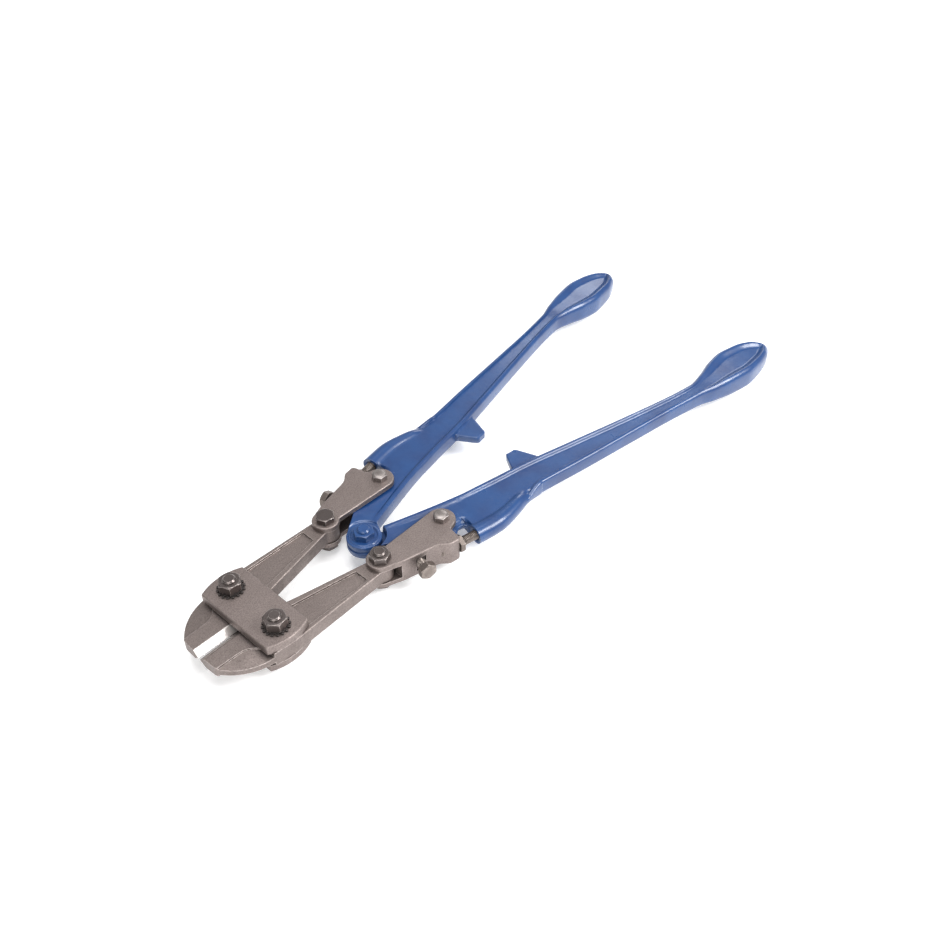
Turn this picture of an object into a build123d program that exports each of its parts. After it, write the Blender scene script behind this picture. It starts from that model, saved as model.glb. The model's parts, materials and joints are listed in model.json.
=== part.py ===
from build123d import *
from math import cos, radians, sin
import os

# Bolt cutters with forged jaws, bolted side plates, adjustable arms and forged handles.
# Lengths are millimetres and angles are degrees. The tool frame has its origin on the centre
# pivot at mid-thickness: +X runs to the nose, +Y to the tool's left, +Z up through the bolts.
# The left side is modelled and the right side is its mirror image.

# Pivots of the left side, seen from above.
JAW_PIVOT = Vector(109.0, 26.0)
ARM_PIVOT = Vector(12.0, 31.3)
HANDLE_PIN = Vector(-50.7, 35.2)
HANDLE_ANGLE = 11.4

# Thickness through the tool, measured from mid-thickness.
JAW_HALF = 6.4
GAP = 0.15
PLATE_THICKNESS = 6.5
CHEEK_THICKNESS = 4.5
CHEEK_INNER = 6.5
CHEEK_OUTER = CHEEK_INNER + CHEEK_THICKNESS
PLATE_INNER = JAW_HALF + GAP
PLATE_OUTER = PLATE_INNER + PLATE_THICKNESS

# Jaws.
NOSE_X = 159.5
NOSE_HALF_WIDTH = 17.5
BEVEL_WIDTH = 5.2
BLADE_HALF = 4.5
REST_OPENING = 0.9
EDGE_GAP = 0.03
EDGE_BACK_X = 111.5
JAW_EYE_RADIUS = 10.0
POCKET_DEPTH = 1.8

# Side plates.
PLATE_FRONT_X = 127.6
BLADE_BACK_X = PLATE_FRONT_X - 1.0
PLATE_BACK_X = 89.0
PLATE_HALF_WIDTH = 37.7
PLATE_BULGE = 4.6

# Arms.
FRONT_EYE_RADIUS = 11.0
REAR_EYE_RADIUS = 11.8

# Handles, in their own frame: u runs from the centre pivot to the grip, v outwards.
EYE_RADIUS = 14.2
EYE_INNER = 1.0
EYE_OUTER = 5.2
EYE_RING = 0.8
EYE_RING_INSIDE = 10.6
EYE_RING_OUTSIDE = 12.4
LAP_RELIEF_RADIUS = 17.5
LOBE_RADIUS = 14.5
FORK_HALF = 6.2
PANEL_FLOOR = 5.0
BOWL_FLOOR = 8.0
SOCKET_OFFSET = 46.5
SOCKET_START = 74.0
SOCKET_RADIUS = 8.0
GRIP_END = 447.0

# Fasteners.
RUNNING = 0.05
M8_RADIUS = 4.0
M10_RADIUS = 5.0
JAW_NUT_FLATS = 16.0
JAW_NUT_HEIGHT = 8.0
JAW_HEAD_HEIGHT = 6.4
BOLT_STANDOUT = 2.2
PIVOT_HEAD_FLATS = 14.0
PIVOT_HEAD_HEIGHT = 5.0
PIVOT_NUT_FLATS = 15.0
PIVOT_NUT_HEIGHT = 6.0
PIN_HEAD_FLATS = 11.5
PIN_HEAD_HEIGHT = 5.0
PIN_NUT_FLATS = 13.0
PIN_NUT_HEIGHT = 5.5
CENTRE_WASHER_RADIUS = 13.4
LOWER_WASHER = 1.5
WASHER_THICKNESS = 1.3
WASHER_RADIUS = 8.8
WASHER_TOOTH_RADIUS = 1.1
WASHER_TEETH = 16
CENTRE_SLACK = 3.4
BASE = (Align.CENTER, Align.CENTER, Align.MIN)

# Adjusting screw and lock screw.
BOSS_FACE_U = 56.5
SHANK_LENGTH = 10.5
COLLAR_FLATS = 13.0
COLLAR_THICKNESS = 4.0
THREAD_LENGTH = 46.0
SOCKET_CLEARANCE = 0.6
BLOCK_FRONT = 9.5
FLANK_RECESS = 1.2
LOCK_SCREW_U = 26.2
LOCK_SCREW_V = 17.0
LOCK_SCREW_LEAN = 10.0
LOCK_SCREW_DEPTH = 16.4
LOCK_EXPOSED_LEFT = 6.8
LOCK_EXPOSED_RIGHT = 5.2
LOCK_HEAD_FLATS = 13.0
LOCK_HEAD_HEIGHT = 5.5
LUG_HALF = 3.5

# The socket's tail: distance behind the centre pivot, offset of the middle, radius.
SOCKET_TAIL = [(94.0, SOCKET_OFFSET, SOCKET_RADIUS), (115.0, 41.4, 7.0), (143.0, 31.5, 5.4)]

# Sections of the handle: distance behind the centre pivot, offset of the middle, width, height.
HANDLE_STATIONS = [
    (86.0, 24.6, 37.4, 13.2), (115.0, 22.4, 33.0, 14.0), (150.0, 20.2, 30.0, 14.0),
    (200.0, 20.4, 26.4, 14.0), (260.0, 20.3, 20.8, 14.5), (315.0, 20.0, 17.0, 15.5),
    (340.0, 19.7, 17.4, 17.0), (358.0, 18.2, 25.6, 20.0), (378.0, 14.4, 35.6, 23.0),
    (398.0, 11.7, 40.0, 24.0), (417.0, 9.4, 36.0, 23.0), (433.0, 7.6, 27.0, 19.5),
    (443.0, 6.6, 15.0, 14.0), (GRIP_END, 6.0, 5.0, 7.0),
]


class SideFrame:
    """A flat frame on the left side: u runs rearwards along a member and v runs outwards."""

    def __init__(self, origin, rear):
        span = rear - origin
        self.length = span.length
        self.origin = Vector(origin.X, origin.Y)
        self.along = Vector(span.X, span.Y).normalized()
        self.out = Vector(self.along.Y, -self.along.X)

    def at(self, u, v, z=0.0):
        point = self.origin + self.along * u + self.out * v
        return Vector(point.X, point.Y, z)

    def locate(self, point):
        """The (u, v) of a point of the tool frame."""
        offset = Vector(point.X, point.Y) - self.origin
        return offset.dot(self.along), offset.dot(self.out)

    def points(self, pairs):
        return [self.at(u, v) for u, v in pairs]


HANDLE_DIRECTION = Vector(-cos(radians(HANDLE_ANGLE)), sin(radians(HANDLE_ANGLE)))
ARM = SideFrame(ARM_PIVOT, HANDLE_PIN)
HANDLE = SideFrame(Vector(0, 0), HANDLE_DIRECTION)


def polygon(points):
    return make_face(Polyline(*points, close=True))


def round_corners(sketch, corners):
    """Rounds the corner nearest to each point with its radius."""
    for point, radius in corners:
        corner = sketch.vertices().sort_by_distance(point)[0]
        sketch = fillet(corner, radius)
    return sketch


def slab(sketch, low, high):
    """Extrudes a flat sketch between two heights."""
    return Pos(0, 0, low) * extrude(sketch, amount=high - low, dir=(0, 0, 1))


def rod(center, radius, low, high):
    return Pos(center.X, center.Y, low) * Cylinder(radius, high - low, align=BASE)


def mirrored(solid):
    return mirror(solid, about=Plane.XZ)


def both_faces(solid):
    """A feature and its mirror image below mid-thickness."""
    return solid + mirror(solid, about=Plane.XY)


def turn_about(center, angle):
    """The placement that turns things by an angle about a vertical axis."""
    return Pos(center.X, center.Y) * Rot(0, 0, angle) * Pos(-center.X, -center.Y)


REST_TURN = turn_about(JAW_PIVOT, REST_OPENING)


def resting(x, y):
    """A point of the closed jaw, carried to the rest position."""
    point = REST_TURN * Pos(x, y)
    return point.position


def hex_prism(flats, height, chamfer=0.0):
    """A hexagon standing on z = 0 with its top corners turned off to a cone."""
    corner = flats / 3 ** 0.5
    prism = extrude(RegularPolygon(corner, 6), amount=height)
    if chamfer == 0.0:
        return prism
    top_radius = flats / 2 * 0.96
    cone = Cone(top_radius + height / 0.45, top_radius, height, align=BASE)
    return prism & cone


def bolt(radius, flats, head_height, length, point=1.0):
    """A bolt whose head stands on z = 0 below a shank that rises to its pointed end."""
    head = Rot(180, 0, 0) * hex_prism(flats, head_height, 1.0)
    shank = Cylinder(radius, length, align=BASE)
    shank = chamfer(shank.edges().sort_by(Axis.Z)[-1], point)
    return head + shank


def nut(flats, height, bore):
    """A nut on z = 0, chamfered on both faces."""
    half = hex_prism(flats, height, 1.0)
    body = half & (Pos(0, 0, height) * Rot(180, 0, 0) * half)
    return body - Cylinder(bore, 3 * height)


def side_plate():
    front = PLATE_FRONT_X
    back = PLATE_BACK_X
    wide = PLATE_HALF_WIDTH
    middle = (front + back) / 2
    outline = make_face([
        Line((front, -wide), (front, wide)),
        ThreePointArc((front, wide), (middle, wide + PLATE_BULGE), (back, wide)),
        Line((back, wide), (back, -wide)),
        ThreePointArc((back, -wide), (middle, -wide - PLATE_BULGE), (front, -wide)),
    ])
    plate = slab(outline, PLATE_INNER, PLATE_OUTER)
    plate = fillet(plate.edges().filter_by(Axis.Z), 1.5)
    plate = fillet(plate.faces().sort_by(Axis.Z)[-1].edges(), 1.2)
    for side in (-1, 1):
        plate -= rod(Vector(JAW_PIVOT.X, side * JAW_PIVOT.Y), M10_RADIUS + RUNNING, 0, 30)
    return plate


def jaw_outline():
    """The forged jaw seen from above: blade, tail and the eye for the arm."""
    corner = (159.2, NOSE_HALF_WIDTH)
    blade = make_face([
        Polyline(resting(EDGE_BACK_X, EDGE_GAP), resting(NOSE_X, EDGE_GAP), corner),
        ThreePointArc(corner, (148.0, 31.0), (127.0, 40.4)),
        Polyline((127.0, 40.4), (104.0, 42.2), (12.0, 39.6), (12.0, 24.8), (80.0, 10.2),
                 (92.0, 7.4), (107.0, 2.6), resting(EDGE_BACK_X, EDGE_GAP)),
    ])
    blade = round_corners(blade, [(corner, 5.0), ((92.0, 7.4), 20.0)])
    eye = Pos(ARM_PIVOT.X, ARM_PIVOT.Y) * Circle(JAW_EYE_RADIUS)
    outline = (blade + eye).face()
    return round_corners(outline, [((17.9, 39.4), 5.0), ((20.6, 23.1), 5.0)])


def blade_bevel():
    """The wedge ground off one face beside the cutting edge."""
    section = Polyline((0, 0), (BEVEL_WIDTH, BLADE_HALF), (BEVEL_WIDTH, 12), (-6, 12), (-6, 0), close=True)
    wedge = extrude(Plane.YZ * make_face(section), amount=NOSE_X + 5 - EDGE_BACK_X)
    return REST_TURN * Pos(EDGE_BACK_X, EDGE_GAP, 0) * wedge


def blade_step():
    """The depth by which the blade's face lies below the jaw's face under the side plate."""
    return Pos(BLADE_BACK_X, 0, BLADE_HALF) * Box(80, 140, 12, align=(Align.MIN, Align.CENTER, Align.MIN))


def blade_hollow():
    """The outer part of one blade face, which falls away towards the rim and the nose."""
    region = make_face([
        Polyline((175, 18.8), (140.0, 20.0)),
        ThreePointArc((140.0, 20.0), (129.5, 24.0), (124.0, 34.0)),
        Polyline((124.0, 34.0), (123.0, 60.0), (175, 60.0), (175, 18.8)),
    ])
    floor = Plane(origin=(125, 20, 3.9), z_dir=(0.035, 0.06, 1))
    return slab(region, 0, 12) & (floor * Box(200, 200, 20, align=BASE))


def tail_pocket():
    """The panel sunk into one face of the jaw's tail, between two rims."""
    panel = polygon([(94.0, 13.0), (31.0, 24.4), (31.0, 37.6), (94.0, 38.0)])
    panel = fillet(panel.vertices(), 2.0)
    return slab(panel, JAW_HALF - POCKET_DEPTH, 12)


def jaw():
    body = slab(jaw_outline(), -JAW_HALF, JAW_HALF)
    flat_edges = body.edges().filter_by(lambda e: abs(abs(e.center().Z) - JAW_HALF) < 0.01)
    body = fillet(flat_edges.filter_by(lambda e: e.center().X < 88), 0.9)
    body -= both_faces(blade_step())
    body -= both_faces(blade_bevel())
    body -= both_faces(blade_hollow())
    body -= both_faces(tail_pocket())
    body -= rod(JAW_PIVOT, M10_RADIUS + RUNNING, -30, 30)
    body -= rod(ARM_PIVOT, M10_RADIUS + RUNNING, -30, 30)
    return body


def lock_washer():
    """An external tooth washer: a ring with round teeth."""
    teeth = PolarLocations(WASHER_RADIUS + 1.0, WASHER_TEETH) * Circle(WASHER_TOOTH_RADIUS)
    ring = Circle(WASHER_RADIUS) + teeth - Circle(M10_RADIUS + RUNNING)
    return extrude(ring, amount=WASHER_THICKNESS)


def arm_outline():
    body = polygon(ARM.points([
        (0.0, -9.0), (9.0, -7.4), (60.5, -11.6), (62.7, 0.0), (66.0, 11.2), (60.8, 13.5), (60.6, 18.0),
        (59.2, 27.2), (48.5, 26.2), (42.0, 20.6), (36.0, 19.2), (11.7, 15.0), (-1.8, 10.8), (-5.0, 0.0),
    ]))
    body = round_corners(body, [
        (ARM.at(60.8, 13.5), 3.0), (ARM.at(59.2, 27.2), 3.5),
        (ARM.at(48.5, 26.2), 6.0), (ARM.at(42.0, 20.6), 12.0),
    ])
    front_eye = Pos(ARM.at(0, 0)) * Circle(FRONT_EYE_RADIUS)
    rear_eye = Pos(ARM.at(ARM.length, 0)) * Circle(REAR_EYE_RADIUS)
    return (body + front_eye + rear_eye).face()


def arm_block():
    """The solid flank between the two cheeks, inside the arm's outline."""
    inside = polygon(ARM.points([
        (BLOCK_FRONT, 6.5), (38.0, 4.5), (49.0, 9.5), (53.5, 15.5),
        (70.0, 19.0), (70.0, 40.0), (BLOCK_FRONT, 40.0),
    ]))
    return slab(inside & arm_outline(), -CHEEK_INNER, CHEEK_INNER)


def screw_plane(u):
    """A plane square to the adjusting screw, at a distance behind the centre pivot."""
    return Plane(origin=HANDLE.at(u, SOCKET_OFFSET), x_dir=(0, 0, 1), z_dir=HANDLE.along)


def lock_screw_plane():
    """A plane on the arm's flank, square to the lock screw, with its normal pointing out."""
    lean = radians(LOCK_SCREW_LEAN)
    outward = ARM.out * cos(lean) - ARM.along * sin(lean)
    return Plane(origin=ARM.at(LOCK_SCREW_U, LOCK_SCREW_V), x_dir=(0, 0, 1), z_dir=outward)


def arm():
    cheek = slab(arm_outline(), CHEEK_INNER, CHEEK_OUTER)
    cheek = fillet(cheek.faces().sort_by(Axis.Z)[-1].edges(), 1.0)
    body = both_faces(cheek) + arm_block()
    behind_boss = screw_plane(BOSS_FACE_U) * Box(60, 18, 30, align=BASE)
    body -= behind_boss
    body -= screw_plane(BOSS_FACE_U - SHANK_LENGTH - 2) * Cylinder(M8_RADIUS + RUNNING, 60, align=BASE)
    flank = lock_screw_plane()
    body -= flank * Pos(0, 0, -FLANK_RECESS) * Box(2 * CHEEK_INNER, 8.8, 20, align=BASE)
    body -= flank * Pos(0, 0, -40) * Cylinder(M8_RADIUS + RUNNING, 60, align=BASE)
    body -= rod(ARM_PIVOT, M10_RADIUS + RUNNING, -30, 30)
    body -= rod(HANDLE_PIN, M8_RADIUS + RUNNING, -30, 30)
    return body


def adjusting_screw():
    """A plain shank for the arm, a hexagonal collar and a thread for the handle's socket."""
    shank = Pos(0, 0, -SHANK_LENGTH) * Cylinder(M8_RADIUS, SHANK_LENGTH, align=BASE)
    collar = hex_prism(COLLAR_FLATS, COLLAR_THICKNESS)
    collar = chamfer(collar.edges().filter_by(Axis.Z, reverse=True), 0.4)
    thread = Cylinder(M8_RADIUS, THREAD_LENGTH, align=BASE)
    thread = chamfer(thread.edges().sort_by(Axis.Z)[-1], 0.8)
    return screw_plane(BOSS_FACE_U) * (shank + collar + thread)


def lock_screw(exposed):
    """The hexagon screw in the arm's flank, which bears on the handle's front edge."""
    depth = LOCK_SCREW_DEPTH
    head = Pos(0, 0, exposed) * hex_prism(LOCK_HEAD_FLATS, LOCK_HEAD_HEIGHT, 1.0)
    shank = Pos(0, 0, -depth) * Cylinder(M8_RADIUS, depth + exposed, align=BASE)
    shank = chamfer(shank.edges().sort_by(Axis.Z)[0], 1.0)
    return lock_screw_plane() * (head + shank)


def handle_front():
    """The flat front of a handle: the eye, the fork part and the web towards the socket."""
    pin = HANDLE.locate(HANDLE_PIN)
    notch = (68.0, 34.5)
    neck = (17.9, -0.1)
    web = polygon(HANDLE.points([
        (-5.2, 12.6), (pin[0] - 5.6, pin[1] + 13.2), (60.0, 37.5), notch, (SOCKET_START, 37.5),
        (SOCKET_START + 0.5, 46.0), (104.0, 43.5), (118.0, 37.5), (118.0, 6.2),
        (50.0, 3.4), (30.0, 1.5), (22.0, 0.5), neck, (10.5, -8.6),
    ]))
    web = round_corners(web, [(HANDLE.at(*notch), 4.0), (HANDLE.at(*neck), 2.5)])
    eye = Circle(EYE_RADIUS)
    lobe = Pos(HANDLE.at(*pin)) * Circle(LOBE_RADIUS)
    return slab((web + eye + lobe).face(), -FORK_HALF, FORK_HALF)


def station(u, center, width, height):
    """One cross-section of the handle, a rounded rectangle square to the handle's axis."""
    corner = min(width, height) * 0.42
    plane = Plane(origin=HANDLE.at(u, center), x_dir=HANDLE.out, z_dir=HANDLE.along)
    return plane * RectangleRounded(width, height, corner)


def handle_beam():
    """The tapering beam, the slim neck and the swollen grip, lofted through their sections."""
    return loft([station(*row) for row in HANDLE_STATIONS])


def face_panel():
    """The sunk panel of one face, from the web to the grip, where it becomes a shallow bowl."""
    inner = Spline(*HANDLE.points([(88.0, 10.0), (200.0, 12.5), (325.0, 16.5), (362.0, 7.5), (402.0, -3.5),
                                   (428.0, 0.0), (437.0, 7.0)]))
    outer = Spline(*HANDLE.points([(437.0, 7.0), (424.0, 19.5), (398.0, 26.5), (362.0, 26.5), (325.0, 25.0),
                                   (200.0, 28.5), (130.0, 32.0), (88.0, 35.5)]))
    close = Line(HANDLE.at(88.0, 35.5), HANDLE.at(88.0, 10.0))
    region = make_face([inner, outer, close])
    profile = Polyline((80, PANEL_FLOOR), (335, PANEL_FLOOR), (375, BOWL_FLOOR), (450, BOWL_FLOOR),
                       (450, 30), (80, 30), close=True)
    side = Plane(origin=(0, 0, 0), x_dir=HANDLE.along, z_dir=HANDLE.out)
    ramp = extrude(side * make_face(profile), amount=60, both=True)
    return slab(region, 0, 30) & ramp


def socket():
    """The tube that holds the adjusting screw's thread, fading into the handle's outer edge."""
    tube = screw_plane(SOCKET_START) * Cylinder(SOCKET_RADIUS, 20, align=BASE)
    sections = [
        Plane(origin=HANDLE.at(u, v), x_dir=(0, 0, 1), z_dir=HANDLE.along) * Circle(radius)
        for u, v, radius in SOCKET_TAIL
    ]
    return tube + loft(sections)


def stop_lug():
    """The lug on the inner edge that meets its twin when the jaws close."""
    front_tip = (149.8, -14.6)
    rear_tip = (160.4, -15.2)
    outline = polygon(HANDLE.points([(141.0, 12.0), front_tip, rear_tip, (174.0, 12.0)]))
    outline = round_corners(outline, [(HANDLE.at(*front_tip), 1.5), (HANDLE.at(*rear_tip), 1.5)])
    lug = slab(outline, -LUG_HALF, LUG_HALF)
    return fillet(lug.faces().filter_by(Axis.Z).edges(), 0.8)


def handle(on_top):
    """A forged handle of the left side, with its half-thick eye above or below the other's."""
    body = handle_front() + handle_beam() + socket() + stop_lug()
    body -= both_faces(face_panel())
    body -= screw_plane(SOCKET_START - 5) * Cylinder(M8_RADIUS + SOCKET_CLEARANCE, 38, align=BASE)
    body -= rod(HANDLE_PIN, M8_RADIUS + RUNNING, -30, 30)
    reach = 20.0
    lap = Cylinder(LAP_RELIEF_RADIUS, reach, align=BASE)
    skim = Cylinder(EYE_RADIUS + 1.5, reach, align=BASE)
    ring = Pos(0, 0, EYE_OUTER) * Cylinder(EYE_RING_OUTSIDE, EYE_RING, align=BASE)
    ring -= Cylinder(EYE_RING_INSIDE, reach, align=BASE)
    if on_top:
        body -= Pos(0, 0, EYE_INNER - reach) * lap
        body -= Pos(0, 0, EYE_OUTER) * skim
        body += ring
        body -= rod(Vector(0, 0), M10_RADIUS + RUNNING, -reach, reach)
    else:
        body -= Pos(0, 0, -EYE_INNER) * lap
        body -= Pos(0, 0, -EYE_OUTER - reach) * skim
        body -= rod(Vector(0, 0), M10_RADIUS + CENTRE_SLACK, -reach, reach)
    return body


def centre_pivot():
    """The centre bolt, its nut, the washer between the eyes and the washer below them."""
    between = rod(Vector(0, 0), CENTRE_WASHER_RADIUS, -EYE_INNER + 0.05, EYE_INNER)
    between -= Cylinder(M10_RADIUS + RUNNING, 20)
    below = rod(Vector(0, 0), CENTRE_WASHER_RADIUS, -EYE_OUTER - GAP - LOWER_WASHER, -EYE_OUTER - GAP)
    below -= Cylinder(M10_RADIUS + RUNNING, 20)
    head_base = -EYE_OUTER - GAP - LOWER_WASHER
    nut_base = EYE_OUTER
    length = nut_base + PIVOT_NUT_HEIGHT + BOLT_STANDOUT - head_base
    stem = bolt(M10_RADIUS, PIVOT_HEAD_FLATS, PIVOT_HEAD_HEIGHT, length)
    return {
        "centre_bolt": Pos(0, 0, head_base) * stem,
        "centre_nut": Pos(0, 0, nut_base) * nut(PIVOT_NUT_FLATS, PIVOT_NUT_HEIGHT, M10_RADIUS + RUNNING),
        "centre_spacer_washer": between,
        "centre_lower_washer": below,
    }


def jaw_fasteners():
    nut_base = PLATE_OUTER + WASHER_THICKNESS
    length = PLATE_OUTER + nut_base + JAW_NUT_HEIGHT + BOLT_STANDOUT
    return {
        "jaw_bolt": Pos(0, 0, -PLATE_OUTER) * bolt(M10_RADIUS, JAW_NUT_FLATS, JAW_HEAD_HEIGHT, length),
        "jaw_lock_washer": Pos(0, 0, PLATE_OUTER) * lock_washer(),
        "jaw_nut": Pos(0, 0, nut_base) * nut(JAW_NUT_FLATS, JAW_NUT_HEIGHT, M10_RADIUS + RUNNING),
    }


def arm_fasteners():
    length = 2 * CHEEK_OUTER + PIVOT_NUT_HEIGHT + BOLT_STANDOUT
    return {
        "arm_bolt": Pos(0, 0, -CHEEK_OUTER) * bolt(M10_RADIUS, PIVOT_HEAD_FLATS, PIVOT_HEAD_HEIGHT, length),
        "arm_nut": Pos(0, 0, CHEEK_OUTER) * nut(PIVOT_NUT_FLATS, PIVOT_NUT_HEIGHT, M10_RADIUS + RUNNING),
    }


def pin_fasteners():
    length = 2 * CHEEK_OUTER + PIN_NUT_HEIGHT + 1.5
    stem = Rot(180, 0, 0) * bolt(M8_RADIUS, PIN_HEAD_FLATS, PIN_HEAD_HEIGHT, length)
    pin_nut = nut(PIN_NUT_FLATS, PIN_NUT_HEIGHT, M8_RADIUS + RUNNING)
    return {
        "handle_pin": Pos(0, 0, CHEEK_OUTER) * stem,
        "handle_pin_nut": Pos(0, 0, -CHEEK_OUTER - PIN_NUT_HEIGHT) * pin_nut,
    }


def placed(group, center, turn=0.0, flip=False):
    """Stands a group of fasteners on a pivot, turned a little and, if need be, upside down."""
    place = Pos(center.X, center.Y) * Rot(180 if flip else 0, 0, turn)
    return {name: place * solid for name, solid in group.items()}


def opposite(center):
    return Vector(center.X, -center.Y)


def build_nodes():
    """Every node of the tool by name, in the tool frame."""
    nodes = {"top_side_plate": side_plate()}
    nodes["bottom_side_plate"] = mirror(nodes["top_side_plate"], about=Plane.XY)
    nodes.update(centre_pivot())
    left_groups = [
        placed(jaw_fasteners(), JAW_PIVOT, 12),
        placed(arm_fasteners(), ARM_PIVOT, 20),
        placed(pin_fasteners(), HANDLE_PIN, 5),
        {"jaw": jaw(), "arm": arm(), "adjusting_screw": adjusting_screw()},
        {"lock_screw": lock_screw(LOCK_EXPOSED_LEFT), "handle": handle(on_top=False)},
    ]
    right_groups = [
        placed(jaw_fasteners(), opposite(JAW_PIVOT), -6),
        placed(arm_fasteners(), opposite(ARM_PIVOT), 8, flip=True),
        placed(pin_fasteners(), opposite(HANDLE_PIN), 25),
        {name: mirrored(solid) for name, solid in left_groups[3].items()},
        {"lock_screw": mirrored(lock_screw(LOCK_EXPOSED_RIGHT)), "handle": mirrored(handle(on_top=True))},
    ]
    for side, groups in (("left", left_groups), ("right", right_groups)):
        for group in groups:
            for name, solid in group.items():
                nodes[side + "_" + name] = solid
    return nodes


def bench_frame(nodes):
    """The move from the tool frame to the part frame: centred, standing on z = 0."""
    box = Compound(children=[Compound(solid.wrapped) for solid in nodes.values()]).bounding_box()
    return Pos(-box.center().X, -box.center().Y, -box.min.Z)


def main():
    nodes = build_nodes()
    place = bench_frame(nodes)
    os.makedirs("parts", exist_ok=True)
    for name, solid in nodes.items():
        export_step(place * solid, "parts/" + name + ".step")
    print("moved by", place.position)


main()
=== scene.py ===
"""Looks for a pair of long-handled bolt cutters: forged steel jaws, plates and arms, threaded
screws, and blue enamelled handles with spoon-shaped grips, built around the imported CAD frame.

Handle coordinates are millimetres: u runs from the centre pivot to the grip, v runs outwards
from the tool's middle line, and z is height above mid-thickness.
"""

import json
import logging
import math
from dataclasses import dataclass, replace
from enum import Enum

import bmesh
import bpy
import numpy as np
from mathutils import Matrix, Vector


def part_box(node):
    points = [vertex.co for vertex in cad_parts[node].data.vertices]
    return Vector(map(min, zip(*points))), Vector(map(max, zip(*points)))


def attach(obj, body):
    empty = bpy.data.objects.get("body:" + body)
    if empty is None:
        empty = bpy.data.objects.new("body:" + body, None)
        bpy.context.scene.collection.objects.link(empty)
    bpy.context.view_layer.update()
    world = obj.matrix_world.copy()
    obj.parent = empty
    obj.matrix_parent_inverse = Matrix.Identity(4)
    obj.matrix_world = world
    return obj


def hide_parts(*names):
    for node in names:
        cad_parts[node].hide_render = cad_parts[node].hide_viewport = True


LOG = logging.getLogger("bolt_cutters")
MM = 0.001
THREAD_DEPTH = 0.55  # a share of the pitch
ROWS_A_PITCH = 9.0
CORNER_EASING = 0.021  # how much a hexagon's corners are pulled in
CORNER_BREAK = 0.3  # millimetres off the corners at an end that isn't turned
CROWN_RISE = 0.45  # height of the turned cone for each millimetre of radius
FAR = 99.0  # millimetres; moves a boundary out of the way

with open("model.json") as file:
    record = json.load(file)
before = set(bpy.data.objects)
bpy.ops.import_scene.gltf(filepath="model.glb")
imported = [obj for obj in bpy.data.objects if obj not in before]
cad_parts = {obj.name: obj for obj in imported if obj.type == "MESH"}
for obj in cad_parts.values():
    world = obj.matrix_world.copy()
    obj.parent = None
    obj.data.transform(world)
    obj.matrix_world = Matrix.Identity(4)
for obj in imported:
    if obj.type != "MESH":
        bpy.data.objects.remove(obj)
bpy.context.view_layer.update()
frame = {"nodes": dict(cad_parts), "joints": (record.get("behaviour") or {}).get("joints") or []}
JOINTS = {joint["name"]: joint for joint in frame["joints"]}


class Slot(Enum):
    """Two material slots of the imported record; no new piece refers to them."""

    FASTENER = "fastener_steel"
    ENAMEL = "blue_enamel"


class Side(Enum):
    """The tool's two sides: the value is the sign of y."""

    LEFT = 1
    RIGHT = -1

    @property
    def word(self) -> str:
        """The prefix of this side's nodes and bodies."""
        return self.name.lower()


def smoothstep(low: float, high: float, value: np.ndarray) -> np.ndarray:
    """Rises from 0 at low to 1 at high along a cubic with flat ends."""
    t = np.clip((value - low) / (high - low), 0.0, 1.0)
    return t * t * (3.0 - 2.0 * t)


def smooth_max(a: np.ndarray, b: np.ndarray, blend: float) -> np.ndarray:
    """The larger of two heights, with a fillet where they cross.

    The fillet adds blend / 4 at the crossing and fades out where they differ by blend.
    """
    share = np.clip(1.0 - np.abs(a - b) / blend, 0.0, 1.0)
    return np.maximum(a, b) + share * share * blend / 4.0


def curve(stations: tuple[tuple[float, float], ...], at: np.ndarray) -> np.ndarray:
    """A smooth line through stations (position, value), read at many positions.

    Each span is a cubic Hermite. The slope at a station is the harmonic mean of the rises on its
    two sides, and zero where they differ in sign, so the line never overshoots.
    """
    x, y = np.array(stations, float).T
    rise_of_span = np.diff(y) / np.diff(x)
    before, after = rise_of_span[:-1], rise_of_span[1:]
    same = before * after > 0
    inner = np.where(same, 2 * before * after / np.where(same, before + after, 1.0), 0.0)
    slope = np.concatenate([rise_of_span[:1], inner, rise_of_span[-1:]])
    span = np.clip(np.searchsorted(x, at) - 1, 0, len(x) - 2)
    width = x[span + 1] - x[span]
    t = np.clip((at - x[span]) / width, 0.0, 1.0)
    rise = 3 * t**2 - 2 * t**3
    lead = (t**3 - 2 * t**2 + t) * slope[span] * width
    trail = (t**3 - t**2) * slope[span + 1] * width
    return y[span] * (1 - rise) + y[span + 1] * rise + lead + trail


def rounded_edge(half: np.ndarray, inside: np.ndarray, radius: np.ndarray) -> np.ndarray:
    """The half height of a plate near its outline.

    It is the full half height further inside than the radius, follows a quarter circle down to
    half - radius at the outline, and drops steeply outside it.
    """
    a = np.clip(inside, 0.0, radius)
    arc = np.sqrt(np.maximum(radius**2 - (radius - a) ** 2, 0.0))
    return half - radius + arc + 8.0 * np.minimum(inside, 0.0)


def distance_to(line: np.ndarray, u: np.ndarray, v: np.ndarray) -> np.ndarray:
    """The distance of every grid point from a polyline.

    Each point is projected on each segment, the foot is kept within the segment, and the
    shortest distance is taken. Rows of the grid go in batches, to bound the memory.
    """
    start, step = line[:-1], np.diff(line, axis=0)
    length2 = np.maximum((step**2).sum(axis=1), 1e-12)
    out = np.empty_like(u)
    for rows in np.array_split(np.arange(u.shape[0]), max(1, u.shape[0] // 12)):
        point = np.stack([u[rows], v[rows]], axis=-1)[..., None, :]
        t = np.clip(((point - start) * step).sum(axis=-1) / length2, 0.0, 1.0)
        foot = start + t[..., None] * step
        out[rows] = np.sqrt(((point - foot) ** 2).sum(axis=-1)).min(axis=-1)
    return out


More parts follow.
